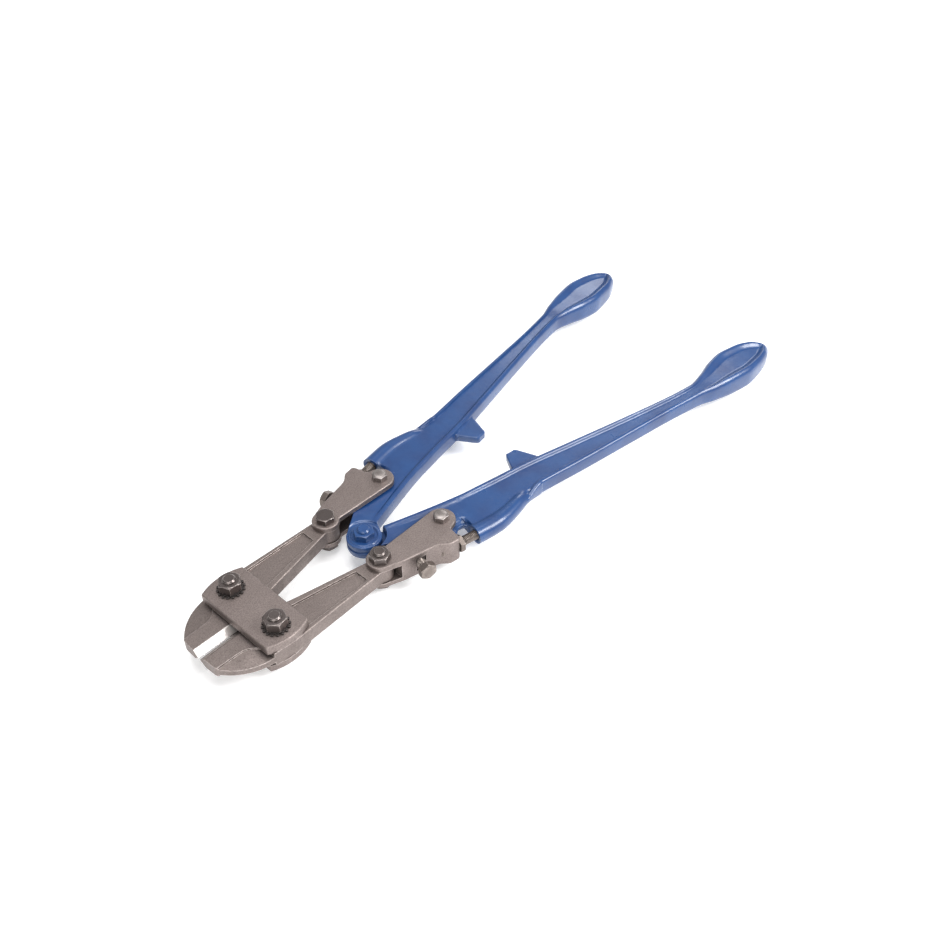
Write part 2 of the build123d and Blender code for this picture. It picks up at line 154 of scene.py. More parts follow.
def grid_faces(rows: int, columns: int, first: int = 0) -> np.ndarray:
    """Quads of a grid whose columns close into a ring: each joins a row with the next one."""
    r, c = np.meshgrid(np.arange(rows - 1), np.arange(columns), indexing="ij")
    n = (c + 1) % columns
    quads = np.stack([r * columns + c, r * columns + n, (r + 1) * columns + n, (r + 1) * columns + c], -1)
    return quads.reshape(-1, 4) + first


@dataclass
class Surface:
    """Vertices in metres and quads, ready to become a piece."""

    points: np.ndarray
    quads: np.ndarray

    @staticmethod
    def joined(parts: list["Surface"]) -> "Surface":
        """Several closed shells in one surface."""
        starts = np.cumsum([0] + [len(p.points) for p in parts[:-1]])
        quads = [p.quads + first for p, first in zip(parts, starts)]
        return Surface(np.concatenate([p.points for p in parts]), np.concatenate(quads))

    def piece(self, name: str, sharp_angle: float) -> bpy.types.Object:
        """Makes a mesh object of the surface.

        Poles are merged, faces are turned outwards, and edges sharper than the angle stay crisp.

        Args:
            name: the piece's name.
            sharp_angle: degrees between faces above which an edge is sharp.

        Returns:
            The object, at the origin, unturned and unscaled.
        """
        mesh = bpy.data.meshes.new(name)
        mesh.from_pydata(self.points.tolist(), [], self.quads.tolist())
        cleaned = bmesh.new()
        cleaned.from_mesh(mesh)
        bmesh.ops.remove_doubles(cleaned, verts=cleaned.verts, dist=1e-6)
        bmesh.ops.dissolve_degenerate(cleaned, edges=cleaned.edges, dist=1e-7)
        bmesh.ops.recalc_face_normals(cleaned, faces=cleaned.faces)
        cleaned.to_mesh(mesh)
        cleaned.free()
        mesh.shade_smooth()
        mesh.set_sharp_from_angle(angle=math.radians(sharp_angle))
        obj = bpy.data.objects.new(name, mesh)
        bpy.context.scene.collection.objects.link(obj)
        return obj


@dataclass(frozen=True)
class Axis:
    """A turned piece's axis in the row frame: a point, its direction and a sideways direction."""

    origin: np.ndarray
    along: np.ndarray
    aside: np.ndarray

    @staticmethod
    def of_joint(name: str) -> "Axis":
        """The axis of a packed hinge, with its sideways direction straight up or along x."""
        joint = JOINTS[name]
        along = np.array(joint["axis"], float)
        along /= np.linalg.norm(along)
        up = np.array([0.0, 0.0, 1.0]) if abs(along[2]) < 0.9 else np.array([1.0, 0.0, 0.0])
        aside = up - along * (up @ along)
        return Axis(np.array(joint["pos_m"], float), along, aside / np.linalg.norm(aside))

    @staticmethod
    def upright(origin: np.ndarray) -> "Axis":
        """A vertical axis through a point, with x as its sideways direction."""
        return Axis(origin, np.array([0.0, 0.0, 1.0]), np.array([1.0, 0.0, 0.0]))

    def place(self, local: np.ndarray) -> np.ndarray:
        """Carries local millimetres (aside, across, along) to metres of the row frame."""
        across = np.cross(self.along, self.aside)
        basis = np.stack([self.aside, across, self.along])
        return self.origin + (local * MM) @ basis


def turned(axis: Axis, stations: np.ndarray, angles: np.ndarray, radius: np.ndarray) -> Surface:
    """A closed body of revolution, or nearly so, about an axis.

    The point at angle a and station s is (r cos a, r sin a, s), and r is given for every pair.
    A row of zero radius closes each end.
    """
    ring = np.concatenate([stations[:1], stations, stations[-1:]])
    edge = np.zeros((1, len(angles)))
    r = np.concatenate([edge, radius, edge])
    along = np.repeat(ring[:, None], len(angles), 1)
    local = np.stack([r * np.cos(angles), r * np.sin(angles), along], -1)
    return Surface(axis.place(local.reshape(-1, 3)), grid_faces(len(ring), len(angles)))


def threaded_rod(
    axis: Axis, low: float, high: float, radius: float, thread_from: float, pitch: float
) -> Surface:
    """A rod with a cut thread on part of its length.

    The radius falls by the thread's depth times a triangle wave of (station / pitch - turn), so
    crests climb one pitch a turn. It fades in over a turn, and the end is chamfered.

    Args:
        axis: the rod's axis; stations are measured from its origin.
        low: first station, in millimetres.
        high: last station.
        radius: radius over the crests.
        thread_from: the station where the thread begins.
        pitch: the rise of one turn.

    Returns:
        The closed surface.
    """
    depth = THREAD_DEPTH * pitch
    stations = np.arange(low, high, pitch / ROWS_A_PITCH)
    stations = np.append(stations, high)
    angles = np.linspace(0.0, 2 * math.pi, 48, endpoint=False)
    s, a = np.meshgrid(stations, angles, indexing="ij")
    phase = (s / pitch - a / (2 * math.pi)) % 1.0
    wave = np.clip(np.abs(2 * phase - 1) * 1.25 - 0.1, 0.0, 1.0)
    cut = smoothstep(thread_from, thread_from + pitch, s)
    r = radius - depth * wave * cut
    chamfer = radius - 1.1 * np.clip(1.0 - np.minimum(high - s, s - low), 0.0, 1.0)
    return turned(axis, stations, angles, np.minimum(r, chamfer))


def hexagon(
    axis: Axis, low: float, high: float, flats: float, chamfered: tuple[bool, bool], crown: float = 0.96
) -> Surface:
    """A hexagonal prism whose corners are turned off to a shallow cone at the chosen ends.

    At angle a the flat lies at (flats / 2) / cos(a mod 60 deg - 30 deg), and the cone's radius
    grows from the crown's share of half the flats by 1 / 0.45 for each millimetre from the end.
    """
    stations = np.concatenate([
        np.linspace(low, low + 1.2, 9),
        np.linspace(low + 1.6, high - 1.6, 4),
        np.linspace(high - 1.2, high, 9),
    ])
    angles = np.linspace(0.0, 2 * math.pi, 96, endpoint=False)
    s, a = np.meshgrid(stations, angles, indexing="ij")
    flat = flats / 2 / np.cos(a % (math.pi / 3) - math.pi / 6)
    corner = flats / math.sqrt(3)
    r = flat * (1 - CORNER_EASING * (flat / (flats / 2) - 1))
    for end, gap in ((chamfered[0], s - low), (chamfered[1], high - s)):
        cone = flats / 2 * crown + gap / CROWN_RISE if end else corner - CORNER_BREAK + gap
        r = np.minimum(r, cone)
    return turned(axis, stations, angles, r)


class NodeGraph:
    """A material's node tree with short calls for the nodes that the finishes share."""

    def __init__(self, name: str) -> None:
        """Starts a material with an empty tree and its output."""
        self.material = bpy.data.materials.new(name)
        self.material.use_nodes = True
        self.tree = self.material.node_tree
        self.tree.nodes.clear()
        self.coords = self.node("ShaderNodeTexCoord").outputs["Object"]

    def node(self, kind: str, **settings: object) -> bpy.types.Node:
        """Adds a node and sets its properties."""
        made = self.tree.nodes.new(kind)
        for key, value in settings.items():
            setattr(made, key, value)
        return made

    def feed(self, socket: bpy.types.NodeSocket, value: object) -> None:
        """Links a socket to another, or sets it to a number or colour."""
        if isinstance(value, bpy.types.NodeSocket):
            self.tree.links.new(value, socket)
        else:
            socket.default_value = value

    def noise(self, scale: float, detail: float = 4.0, roughness: float = 0.55) -> bpy.types.NodeSocket:
        """Noise on Object coordinates, with scale in features per metre."""
        made = self.node("ShaderNodeTexNoise")
        self.feed(made.inputs["Vector"], self.coords)
        made.inputs["Scale"].default_value = scale
        made.inputs["Detail"].default_value = detail
        made.inputs["Roughness"].default_value = roughness
        return made.outputs["Fac"]

    def spots(self, scale: float) -> bpy.types.NodeSocket:
        """The distance to the nearest point of a random cell pattern."""
        made = self.node("ShaderNodeTexVoronoi")
        self.feed(made.inputs["Vector"], self.coords)
        made.inputs["Scale"].default_value = scale
        return made.outputs["Distance"]

    def streaks(self, stretch: tuple[float, float, float], detail: float = 3.0) -> bpy.types.NodeSocket:
        """Noise stretched along an axis, as grinding leaves it."""
        mapped = self.node("ShaderNodeMapping")
        self.feed(mapped.inputs["Vector"], self.coords)
        mapped.inputs["Scale"].default_value = stretch
        made = self.node("ShaderNodeTexNoise")
        self.feed(made.inputs["Vector"], mapped.outputs["Vector"])
        made.inputs["Scale"].default_value = 1.0
        made.inputs["Detail"].default_value = detail
        return made.outputs["Fac"]

    def ramp(self, value: object, low: float, high: float) -> bpy.types.NodeSocket:
        """Maps low..high to 0..1 and clamps."""
        made = self.node("ShaderNodeMapRange")
        self.feed(made.inputs["Value"], value)
        made.inputs["From Min"].default_value = low
        made.inputs["From Max"].default_value = high
        return made.outputs["Result"]

    def math(self, operation: str, a: object, b: object = 0.0) -> bpy.types.NodeSocket:
        """One arithmetic step."""
        made = self.node("ShaderNodeMath", operation=operation)
        self.feed(made.inputs[0], a)
        self.feed(made.inputs[1], b)
        return made.outputs[0]

    def mix(self, share: object, a: object, b: object) -> bpy.types.NodeSocket:
        """A colour between a and b."""
        made = self.node("ShaderNodeMix", data_type="RGBA")
        self.feed(made.inputs["Factor"], share)
        self.feed(made.inputs[6], a)
        self.feed(made.inputs[7], b)
        return made.outputs[2]

    def edges(self, radius: float, gain: float) -> bpy.types.NodeSocket:
        """1 on convex and concave edges within the radius, 0 on flat faces.

        It is how far the normal averaged over the radius leans from the true one.
        """
        soft = self.node("ShaderNodeBevel", samples=6)
        soft.inputs["Radius"].default_value = radius
        true = self.node("ShaderNodeNewGeometry").outputs["True Normal"]
        dot = self.node("ShaderNodeVectorMath", operation="DOT_PRODUCT")
        self.feed(dot.inputs[0], soft.outputs["Normal"])
        self.feed(dot.inputs[1], true)
        lean = self.math("SUBTRACT", 1.0, dot.outputs["Value"])
        return self.ramp(self.math("MULTIPLY", lean, gain), 0.02, 1.0)

    def hollows(self, reach: float) -> bpy.types.NodeSocket:
        """1 where a surface is shut in by others within the reach, 0 where it is open."""
        made = self.node("ShaderNodeAmbientOcclusion", samples=6)
        made.inputs["Distance"].default_value = reach
        return self.math("SUBTRACT", 1.0, made.outputs["AO"])

    def bump(
        self, height: object, depth: float, strength: float, over: object = None
    ) -> bpy.types.NodeSocket:
        """A bumped normal: a height of 0..1 stands for the depth in metres."""
        made = self.node("ShaderNodeBump")
        made.inputs["Strength"].default_value = strength
        made.inputs["Distance"].default_value = depth
        self.feed(made.inputs["Height"], height)
        if over is not None:
            self.feed(made.inputs["Normal"], over)
        return made.outputs["Normal"]

    def soft_normal(self, radius: float) -> bpy.types.NodeSocket:
        """The normal of edges broken by a small radius."""
        made = self.node("ShaderNodeBevel", samples=6)
        made.inputs["Radius"].default_value = radius
        return made.outputs["Normal"]

    def shader(self, **sockets: object) -> bpy.types.Material:
        """Closes the tree with a Principled shader whose sockets are given by name."""
        surface = self.node("ShaderNodeBsdfPrincipled")
        for key, value in sockets.items():
            self.feed(surface.inputs[key.replace("_", " ")], value)
        self.feed(self.node("ShaderNodeOutputMaterial").inputs["Surface"], surface.outputs["BSDF"])
        return self.material


def rgb(red: float, green: float, blue: float) -> tuple[float, float, float, float]:
    """An opaque linear colour."""
    return (red, green, blue, 1.0)


@dataclass(frozen=True)
class SteelFinish:
    """Bare steel with a forging or machining grain, edges lighter (partly rubbed bright, partly a painted
    highlight) and painted shade in shut-in hollows.
    """

    name: str
    tint: tuple[float, float, float, float]
    stain: tuple[float, float, float, float]
    # Edge colour: partly steel rubbed bright, partly a painted highlight.
    worn: tuple[float, float, float, float]
    roughness: float
    metallic: float = 0.85
    grain_scale: float = 900.0
    grain_depth: float = 0.0002
    grain_strength: float = 0.8
    speckle: float = 0.6
    pits: tuple[float, float, float, float] = (0.075, 0.06, 0.055, 1.0)
    edge_radius: float = 0.001
    edge_gain: float = 13.0
    ground_tints: tuple[tuple[float, float, float, float], ...] = ()

    def material(self) -> bpy.types.Material:
        """Builds the material.

        Large noise shifts the tint towards the stain, fine noise gives the grain, surfaces shut in by others
        get painted shade, and the lean of the softened normal marks the edges, which are made lighter: partly
        steel rubbed bright, partly a painted highlight.
        """
        g = NodeGraph(self.name)
        patches = g.ramp(g.noise(55.0, 5.0, 0.62), 0.36, 0.68)
        speckle = g.ramp(g.noise(self.grain_scale * 1.2, 3.0, 0.7), 0.42, 0.68)
        colour = g.mix(g.math("MULTIPLY", patches, 0.55), self.tint, self.stain)
        colour = g.mix(g.math("MULTIPLY", speckle, self.speckle), colour, self.pits)
        # Painted shade: surfaces shut in by others within 4 mm are darkened towards near black.
        shade_in_hollows = g.ramp(g.hollows(0.004), 0.35, 1.0)
        colour = g.mix(g.math("MULTIPLY", shade_in_hollows, 0.7), colour, rgb(0.02, 0.018, 0.017))
        # Edges are made lighter, broken up by noise: partly steel rubbed bright, partly a painted highlight.
        edges = g.edges(self.edge_radius, self.edge_gain)
        rubbing_and_highlight = g.math("MULTIPLY", edges, g.ramp(g.noise(420.0), 0.3, 0.55))
        colour = g.mix(rubbing_and_highlight, colour, self.worn)
        rough = g.math("ADD", self.roughness - 0.06, g.math("MULTIPLY", patches, 0.14))
        fine = g.noise(self.grain_scale, 4.0, 0.6)
        grain = g.math("ADD", fine, g.math("MULTIPLY", g.spots(self.grain_scale * 0.45), 0.35))
        normal = g.bump(grain, self.grain_depth, self.grain_strength, g.soft_normal(self.edge_radius * 0.6))
        # On the left jaw these ground tints are painted shade: a dark copy of the right jaw's bright strip.
        if self.ground_tints:
            ground = self.ground_share(g)
            lines = g.streaks((6000.0, 90.0, 90.0))
            colour = g.mix(ground, colour, g.mix(lines, self.ground_tints[0], self.ground_tints[1]))
            rough = g.math("ADD", rough, g.math("MULTIPLY", ground, -0.1))
        return g.shader(Base_Color=colour, Metallic=self.metallic, Roughness=rough, Normal=normal)

    @staticmethod
    def ground_share(g: NodeGraph) -> bpy.types.NodeSocket:
        """1 on the strips ground beside the cutting edges, 0 elsewhere.

        A strip is where the height from mid-thickness is 0.865 of the distance from the middle line.
        """
        split = g.node("ShaderNodeSeparateXYZ")
        g.feed(split.inputs[0], g.coords)
        middle = g.math("ABSOLUTE", split.outputs["Y"])
        near = g.ramp(middle, 0.0066, 0.0062)
        low = g.math("ABSOLUTE", g.math("SUBTRACT", split.outputs["Z"], float(middle_height())))
        wedge = g.math("SUBTRACT", g.math("MULTIPLY", middle, 0.865), low)
        on_slope = g.ramp(g.math("ABSOLUTE", wedge), 0.0012, 0.0009)
        front = g.ramp(split.outputs["X"], 0.2530, 0.2536)
        return g.math("MULTIPLY", g.math("MULTIPLY", near, on_slope), front)


@dataclass(frozen=True)
class EnamelFinish:
    """Thick glossy enamel over a forging, with painted shade in its hollows and a painted highlight along its
    edges.
    """

    name: str
    tint: tuple[float, float, float, float]
    deep: tuple[float, float, float, float]
    # Paler colour of the painted highlight along the edges.
    thin: tuple[float, float, float, float]
    roughness: float = 0.27

    def material(self) -> bpy.types.Material:
        """Builds the material: broad noise moves the tint, edges get a painted highlight, hollows get painted
        shade.
        """
        g = NodeGraph(self.name)
        cloud = g.ramp(g.noise(38.0, 4.0, 0.55), 0.34, 0.68)
        colour = g.mix(cloud, self.tint, self.deep)
        # Painted shade: where the enamel is shut in by other surfaces it goes towards the deep colour.
        shade_in_recesses = g.ramp(g.hollows(0.006), 0.2, 0.9)
        colour = g.mix(g.math("MULTIPLY", shade_in_recesses, 0.6), colour, self.deep)
        # Painted highlight: edges, broken up by noise, are mixed towards the paler colour.
        thin = g.math("MULTIPLY", g.edges(0.0011, 5.0), g.ramp(g.noise(260.0), 0.3, 0.6))
        colour = g.mix(g.math("MULTIPLY", thin, 0.55), colour, self.thin)
        skin = g.math("ADD", g.noise(210.0, 3.0, 0.5), g.math("MULTIPLY", g.noise(900.0, 2.0), 0.25))
        normal = g.bump(skin, 0.00022, 0.5)
        rough = g.math("ADD", self.roughness, g.math("MULTIPLY", cloud, 0.08))
        return g.shader(
            Base_Color=colour, Roughness=rough, Normal=normal, Specular_IOR_Level=0.48, Coat_Weight=0.16,
            Coat_Roughness=0.08,
        )


FORGED = SteelFinish(
    "forged_steel_satin", rgb(0.255, 0.212, 0.198), rgb(0.19, 0.157, 0.146),
    rgb(0.52, 0.455, 0.43), roughness=0.5,
)
BRIGHT_JAW = SteelFinish(
    "forged_steel_bright_edge", rgb(0.235, 0.196, 0.182), rgb(0.17, 0.141, 0.131),
    rgb(0.5, 0.44, 0.415), roughness=0.48,
    ground_tints=(rgb(0.50, 0.46, 0.44), rgb(0.68, 0.64, 0.61)),
)
# Painted shade: the left jaw's ground strip gets a dark copy of the tints that are bright on the right jaw.
SHADED_COPY_JAW = replace(
    BRIGHT_JAW, name="forged_steel_dull_edge", ground_tints=(rgb(0.10, 0.085, 0.08), rgb(0.16, 0.135, 0.125))
)
FASTENER = SteelFinish(
    "fastener_steel_dark", rgb(0.14, 0.118, 0.112), rgb(0.085, 0.074, 0.072),
    rgb(0.6, 0.54, 0.51), roughness=0.36, grain_scale=1500.0, grain_depth=0.00005, edge_radius=0.0006,
)
PIN_STEEL = SteelFinish(
    "pin_steel_bright", rgb(0.27, 0.24, 0.23), rgb(0.20, 0.175, 0.165),
    rgb(0.66, 0.61, 0.58), roughness=0.42, grain_scale=1500.0, grain_depth=0.00005, edge_radius=0.0007,
)
SCREW_STEEL = SteelFinish(
    "screw_steel_oiled", rgb(0.215, 0.18, 0.16), rgb(0.12, 0.10, 0.09),
    rgb(0.5, 0.44, 0.4), roughness=0.42, grain_scale=1400.0, grain_depth=0.00005, edge_radius=0.0004,
)
BLACKENED = SteelFinish(
    "lock_washer_blackened", rgb(0.06, 0.053, 0.052), rgb(0.035, 0.031, 0.031),
    rgb(0.16, 0.145, 0.14), roughness=0.5, grain_scale=1500.0, grain_depth=0.00005, edge_radius=0.0004,
)
ENAMEL = EnamelFinish(
    "blue_enamel_gloss", rgb(0.015, 0.056, 0.172), rgb(0.008, 0.034, 0.125),
    rgb(0.11, 0.17, 0.33),
)


def middle_height() -> float:
    """The height of the tool's mid-thickness plane, halfway between the two side plates."""
    return (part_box("bottom_side_plate")[0].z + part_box("top_side_plate")[1].z) / 2


@dataclass
class Handle:
    """One forged handle: half-thick eye, fork part, beam with sunk faces, stop lug, socket tube
    and spoon-shaped grip, as one closed surface with its bores cut.
    """

    side: Side
    eye_on_top: bool
    enamel: bpy.types.Material
    angle: float = 11.4
    eye_radius: float = 14.2
    eye_inner: float = 1.0
    eye_outer: float = 5.2
    lap_radius: float = 17.5
    ring_radii: tuple[float, float] = (10.6, 12.4)
    ring_height: float = 0.75
    lug_half: float = 3.5
    notch_thinning: float = 2.4
    inner_slope: float = 1.8
    socket_start: float = 74.0
    grip_end: float = 446.9
    columns: int = 68
    lug_columns: int = 16

    inner_stations = (
        (9.5, -10.4), (13.5, -5.4), (16.6, -1.2), (19.0, 0.1), (26.0, 1.0), (36.0, 2.0), (50.0, 3.4),
        (86.0, 5.9), (118.0, 6.0), (150.0, 5.4), (200.0, 7.2), (260.0, 9.9), (315.0, 11.5),
        (340.0, 11.0), (358.0, 5.6),
        (378.0, -3.2), (398.0, -8.1), (417.0, -8.4), (433.0, -5.6), (441.0, -1.6), (445.5, 2.4), (447.0, 6.6),
    )
    outer_stations = (
        (-5.2, 13.2), (8.0, 18.6), (51.0, 37.7), (57.0, 38.9), (62.0, 37.7), (67.5, 33.8), (71.0, 33.9),
        (74.0, 36.8),
    )
    beam_outer_stations = (
        (74.0, 40.0), (86.0, 42.8), (115.0, 38.6), (150.0, 35.1), (200.0, 33.5), (260.0, 30.6),
        (315.0, 28.4), (340.0, 28.3), (358.0, 30.8), (378.0, 32.0), (398.0, 31.5), (417.0, 27.2), (433.0, 20.9),
        (441.0, 15.4), (445.5, 10.8), (447.0, 6.6),
    )
    lug_stations = ((141.6, 8.0), (149.8, -14.6), (160.4, -15.2), (173.4, 8.0))
    half_stations = (
        (0.0, 6.2), (80.0, 6.2), (88.0, 6.6), (110.0, 7.0), (200.0, 7.0), (260.0, 7.25), (315.0, 7.7),
        (340.0, 8.5), (358.0, 10.0), (378.0, 11.4), (398.0, 11.95), (417.0, 11.4), (433.0, 9.6), (447.0, 6.0),
    )
    edge_stations = (
        (0.0, 0.9), (78.0, 1.0), (92.0, 2.6), (200.0, 2.8), (300.0, 3.4), (340.0, 4.6), (372.0, 7.0),
        (417.0, 7.4), (447.0, 5.0),
    )
    rim_stations = (
        (20.0, 2.6), (80.0, 3.2), (200.0, 3.4), (320.0, 3.0), (360.0, 3.4), (400.0, 3.6), (447.0, 3.4),
    )
    sink_stations = (
        (16.0, 0.0), (34.0, 1.5), (80.0, 1.9), (110.0, 2.5), (310.0, 2.5), (345.0, 2.7), (385.0, 4.4),
        (420.0, 4.6), (447.0, 3.4),
    )
    slope_stations = ((80.0, 1.0), (310.0, 1.0), (345.0, 2.2), (385.0, 8.0), (447.0, 6.5))
    tube_stations = (
        (74.0, 46.5), (86.0, 46.4), (97.0, 45.7), (107.0, 43.6), (118.0, 40.0), (130.0, 35.6),
        (143.0, 31.5), (156.0, 28.9), (170.0, 27.5),
    )
    tube_radius_stations = ((74.0, 8.0), (94.0, 7.9), (115.0, 7.1), (143.0, 5.9), (170.0, 4.6))

    def inner_edge(self, u: np.ndarray) -> np.ndarray:
        """The inner boundary without the lug: the eye's circle, then the beam's edge."""
        circle = -np.sqrt(np.maximum(self.eye_radius**2 - u**2, 0.0))
        return np.where(u < 9.5, circle, curve(self.inner_stations, u))

    def outer_edge(self, u: np.ndarray) -> np.ndarray:
        """The outer boundary: the eye's circle, the fork's edge, then the tube or the beam."""
        circle = np.sqrt(np.maximum(self.eye_radius**2 - u**2, 0.0))
        fork = np.where(u < -5.2, circle, curve(self.outer_stations, u))
        tube = curve(self.tube_stations, u) + curve(self.tube_radius_stations, u)
        tube = tube - smoothstep(150.0, 170.0, u) * FAR
        behind = smooth_max(curve(self.beam_outer_stations, u), tube, 1.5)
        return np.where(u < self.socket_start, fork, behind)

    def lug_edge(self, u: np.ndarray) -> np.ndarray:
        """The lug's boundary: straight flanks and a straight tip with its corners eased."""
        around = np.linspace(-1.6, 1.6, 9)
        stations = np.array(self.lug_stations).T
        return np.interp(u[..., None] + around, *stations, left=FAR, right=FAR).mean(axis=-1)

    def outline(self, u: np.ndarray, with_lug: bool) -> np.ndarray:
        """The closed outline as a polyline, out along the inner edge and back on the outer."""
        low = self.inner_edge(u)
        if with_lug:
            low = np.minimum(low, self.lug_edge(u))
        there = np.stack([u, low], -1)
        back = np.stack([u, self.outer_edge(u)], -1)[::-1]
        return np.concatenate([there, back, there[:1]])

    @staticmethod
    def spread(knots: list[tuple[float, int]]) -> np.ndarray:
        """Rows spread evenly between knots, each a position and the number of its row."""
        position, number = np.array(knots, float).T
        return np.interp(np.arange(knots[-1][1] + 1), number, position)

    def row_positions(self) -> np.ndarray:
        """Positions u of the grid's rows: close together at both tips, the ring and the lug, with
        two rows almost together at the socket's mouth, where the outline steps out.
        """
        front = self.spread([
            (-self.eye_radius, 0), (-12.0, 60), (22.0, 130), (66.0, 176), (self.socket_start - 0.02, 192),
        ])
        tip = self.eye_radius - self.eye_radius * (1 - np.cos(np.linspace(0, 0.99, 61))) * 0.42
        front[:61] = -tip
        tip_start = 440.0
        back = self.spread([
            (self.socket_start, 0), (100.0, 34), (138.0, 66), (176.0, 136), (330.0, 230), (360.0, 256),
            (420.0, 300), (tip_start, 324),
        ])
        closing = 1 - np.sin(np.linspace(0.08, math.pi / 2, 32))
        end = self.grip_end - (self.grip_end - tip_start) * closing
        return np.concatenate([front, back, end])

    def faces_of_half(self, u: np.ndarray, v: np.ndarray, full: np.ndarray, base: np.ndarray) -> np.ndarray:
        """The height above mid-thickness of one face.

        The plate's rounded edge comes first, the panel is sunk inside its rim by a smooth step of
        the distance from the outline, the socket's tube is a circle of (v - its middle) blended in
        with a fillet, and the lug is a thinner plate blended on in the same way. In front of the
        socket the sunk face has a rim on its inner side only.

        Args:
            u: position along the handle.
            v: position outwards.
            full: distance inside the outline that has the lug.
            base: signed distance inside the outline without the lug.

        Returns:
            The heights, in millimetres.
        """
        half = curve(self.half_stations, u)
        radius = curve(self.edge_stations, u)
        plate = rounded_edge(half, base, radius)
        rim, slope = curve(self.rim_stations, u), curve(self.slope_stations, u)
        base_inner = v - self.inner_edge(u)
        open_front = 1 - smoothstep(76.0, 79.0, u)
        inside = base * (1 - open_front) + np.maximum(base, base_inner * 0.96) * open_front
        inner_side = 1 - smoothstep(0.1, 0.5, base_inner - base)
        slope = slope + self.inner_slope * inner_side * (1 - smoothstep(320.0, 350.0, u))
        t = np.clip((inside - rim) / slope, 0.0, 1.0)
        plate -= curve(self.sink_stations, u) * t * t * (3 - 2 * t)
        thin = (1 - smoothstep(2.0, 9.0, base)) * smoothstep(58.0, 63.0, u) * (1 - smoothstep(75.5, 77.5, u))
        plate -= self.notch_thinning * thin * smoothstep(24.0, 30.0, v)
        middle, bore = curve(self.tube_stations, u), curve(self.tube_radius_stations, u)
        mouth = smoothstep(self.socket_start - 0.1, self.socket_start - 0.01, u)
        there = mouth * (1 - smoothstep(122.0, 150.0, u))
        tube = np.sqrt(np.maximum(bore**2 - (v - middle) ** 2, 0.0)) * there
        plate *= 1 - smoothstep(0.0, 1.0, (v - middle + 1.0) / (0.55 * bore)) * there
        shape = smooth_max(plate, tube, 1.1)
        lug = rounded_edge(np.full_like(u, self.lug_half), full, np.full_like(u, 1.0))
        near_lug = (u > 138.0) & (u < 178.0) & (v < 14.0)
        return np.where(near_lug, smooth_max(shape, lug, 1.6), shape)

    def heights(self, u: np.ndarray, v: np.ndarray) -> tuple[np.ndarray, np.ndarray]:
        """The heights of the upper and lower faces, with the eye's lap and its raised ring.

        Within the lap's radius the plate becomes the half-thick eye, above or below the middle.
        """
        dense = self.row_positions()[::2]
        dense = np.append(dense, self.grip_end)
        full = distance_to(self.outline(dense, True), u, v)
        base = distance_to(self.outline(dense, False), u, v)
        base = np.where(v < self.inner_edge(u), -base, base)
        face = self.faces_of_half(u, v, full, base)
        middle = (self.eye_inner + self.eye_outer) / 2
        eye_half = (self.eye_outer - self.eye_inner) / 2
        eye = rounded_edge(np.full_like(u, eye_half), full, np.full_like(u, 0.7))
        reach = np.hypot(u, v)
        outside_lap = smoothstep(self.lap_radius - 0.35, self.lap_radius + 0.35, reach)
        outside_skim = smoothstep(self.eye_radius + 1.1, self.eye_radius + 1.9, reach)
        low, high = self.ring_radii
        ring = smoothstep(low - 0.3, low + 0.4, reach) * (1 - smoothstep(high - 0.4, high + 0.3, reach))
        shown = (middle + eye) * (1 - outside_skim) + face * outside_skim
        shown += ring * self.ring_height * (1 if self.eye_on_top else 0)
        lapped = -(middle - eye) * (1 - outside_lap) + face * outside_lap
        return (shown, -lapped) if self.eye_on_top else (lapped, -shown)

    def to_row_frame(self, u: np.ndarray, v: np.ndarray, z: np.ndarray) -> np.ndarray:
        """Carries handle coordinates to metres of the row frame.

        A point is u along the handle's direction plus v at right angles, mirrored for the right.
        """
        turn = math.radians(self.angle)
        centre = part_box("centre_bolt")
        origin_x = (centre[0].x + centre[1].x) / 2
        x = origin_x + (-u * math.cos(turn) + v * math.sin(turn)) * MM
        y = self.side.value * (u * math.sin(turn) + v * math.cos(turn)) * MM
        return np.stack([x, y, middle_height() + z * MM], -1)

    def surface(self) -> Surface:
        """The handle's closed surface.

        Each row of the grid is a ring: the upper face from the inner to the outer edge and the
        lower face back, with v eased towards both edges, where the roundings are. The lug has
        columns of its own, which shrink to nothing beside it and are merged there.
        """
        rows = self.row_positions()
        edge, high = self.inner_edge(rows)[:, None], self.outer_edge(rows)[:, None]
        low = np.minimum(edge, self.lug_edge(rows)[:, None])
        share = np.linspace(0.0, 1.0, self.columns)
        share = 0.35 * share + 0.65 * (1 - np.cos(math.pi * share)) / 2
        lug_share = np.linspace(0.0, 1.0, self.lug_columns, endpoint=False)
        v = np.concatenate([low + (edge - low) * lug_share, edge + (high - edge) * share], axis=1)
        u = np.repeat(rows[:, None], v.shape[1], axis=1)
        top, bottom = self.heights(u, v)
        ring = np.concatenate(
            [self.to_row_frame(u, v, top), self.to_row_frame(u, v, bottom)[:, ::-1]], axis=1
        )
        first, last = ring[:1], ring[-1:]
        centre_first = np.broadcast_to(first.mean(axis=1, keepdims=True), first.shape)
        centre_last = np.broadcast_to(last.mean(axis=1, keepdims=True), last.shape)
        closed = np.concatenate([centre_first, ring, centre_last])
        quads = grid_faces(closed.shape[0], closed.shape[1])
        return Surface(closed.reshape(-1, 3), quads)

    def bore(self, pivot: str | None, radius: float) -> Surface:
        """A cutter for a bore through the handle at a packed pivot, or at the centre pivot."""
        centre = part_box("centre_bolt")
        origin = np.array([(centre[0].x + centre[1].x) / 2, 0.0, middle_height()])
        if pivot:
            origin = np.array(JOINTS[pivot]["pos_m"], float)
        axis = Axis.upright(origin)
        stations = np.array([-12.0, 12.0])
        angles = np.linspace(0.0, 2 * math.pi, 64, endpoint=False)
        return turned(axis, stations, angles, np.full((2, 64), radius))

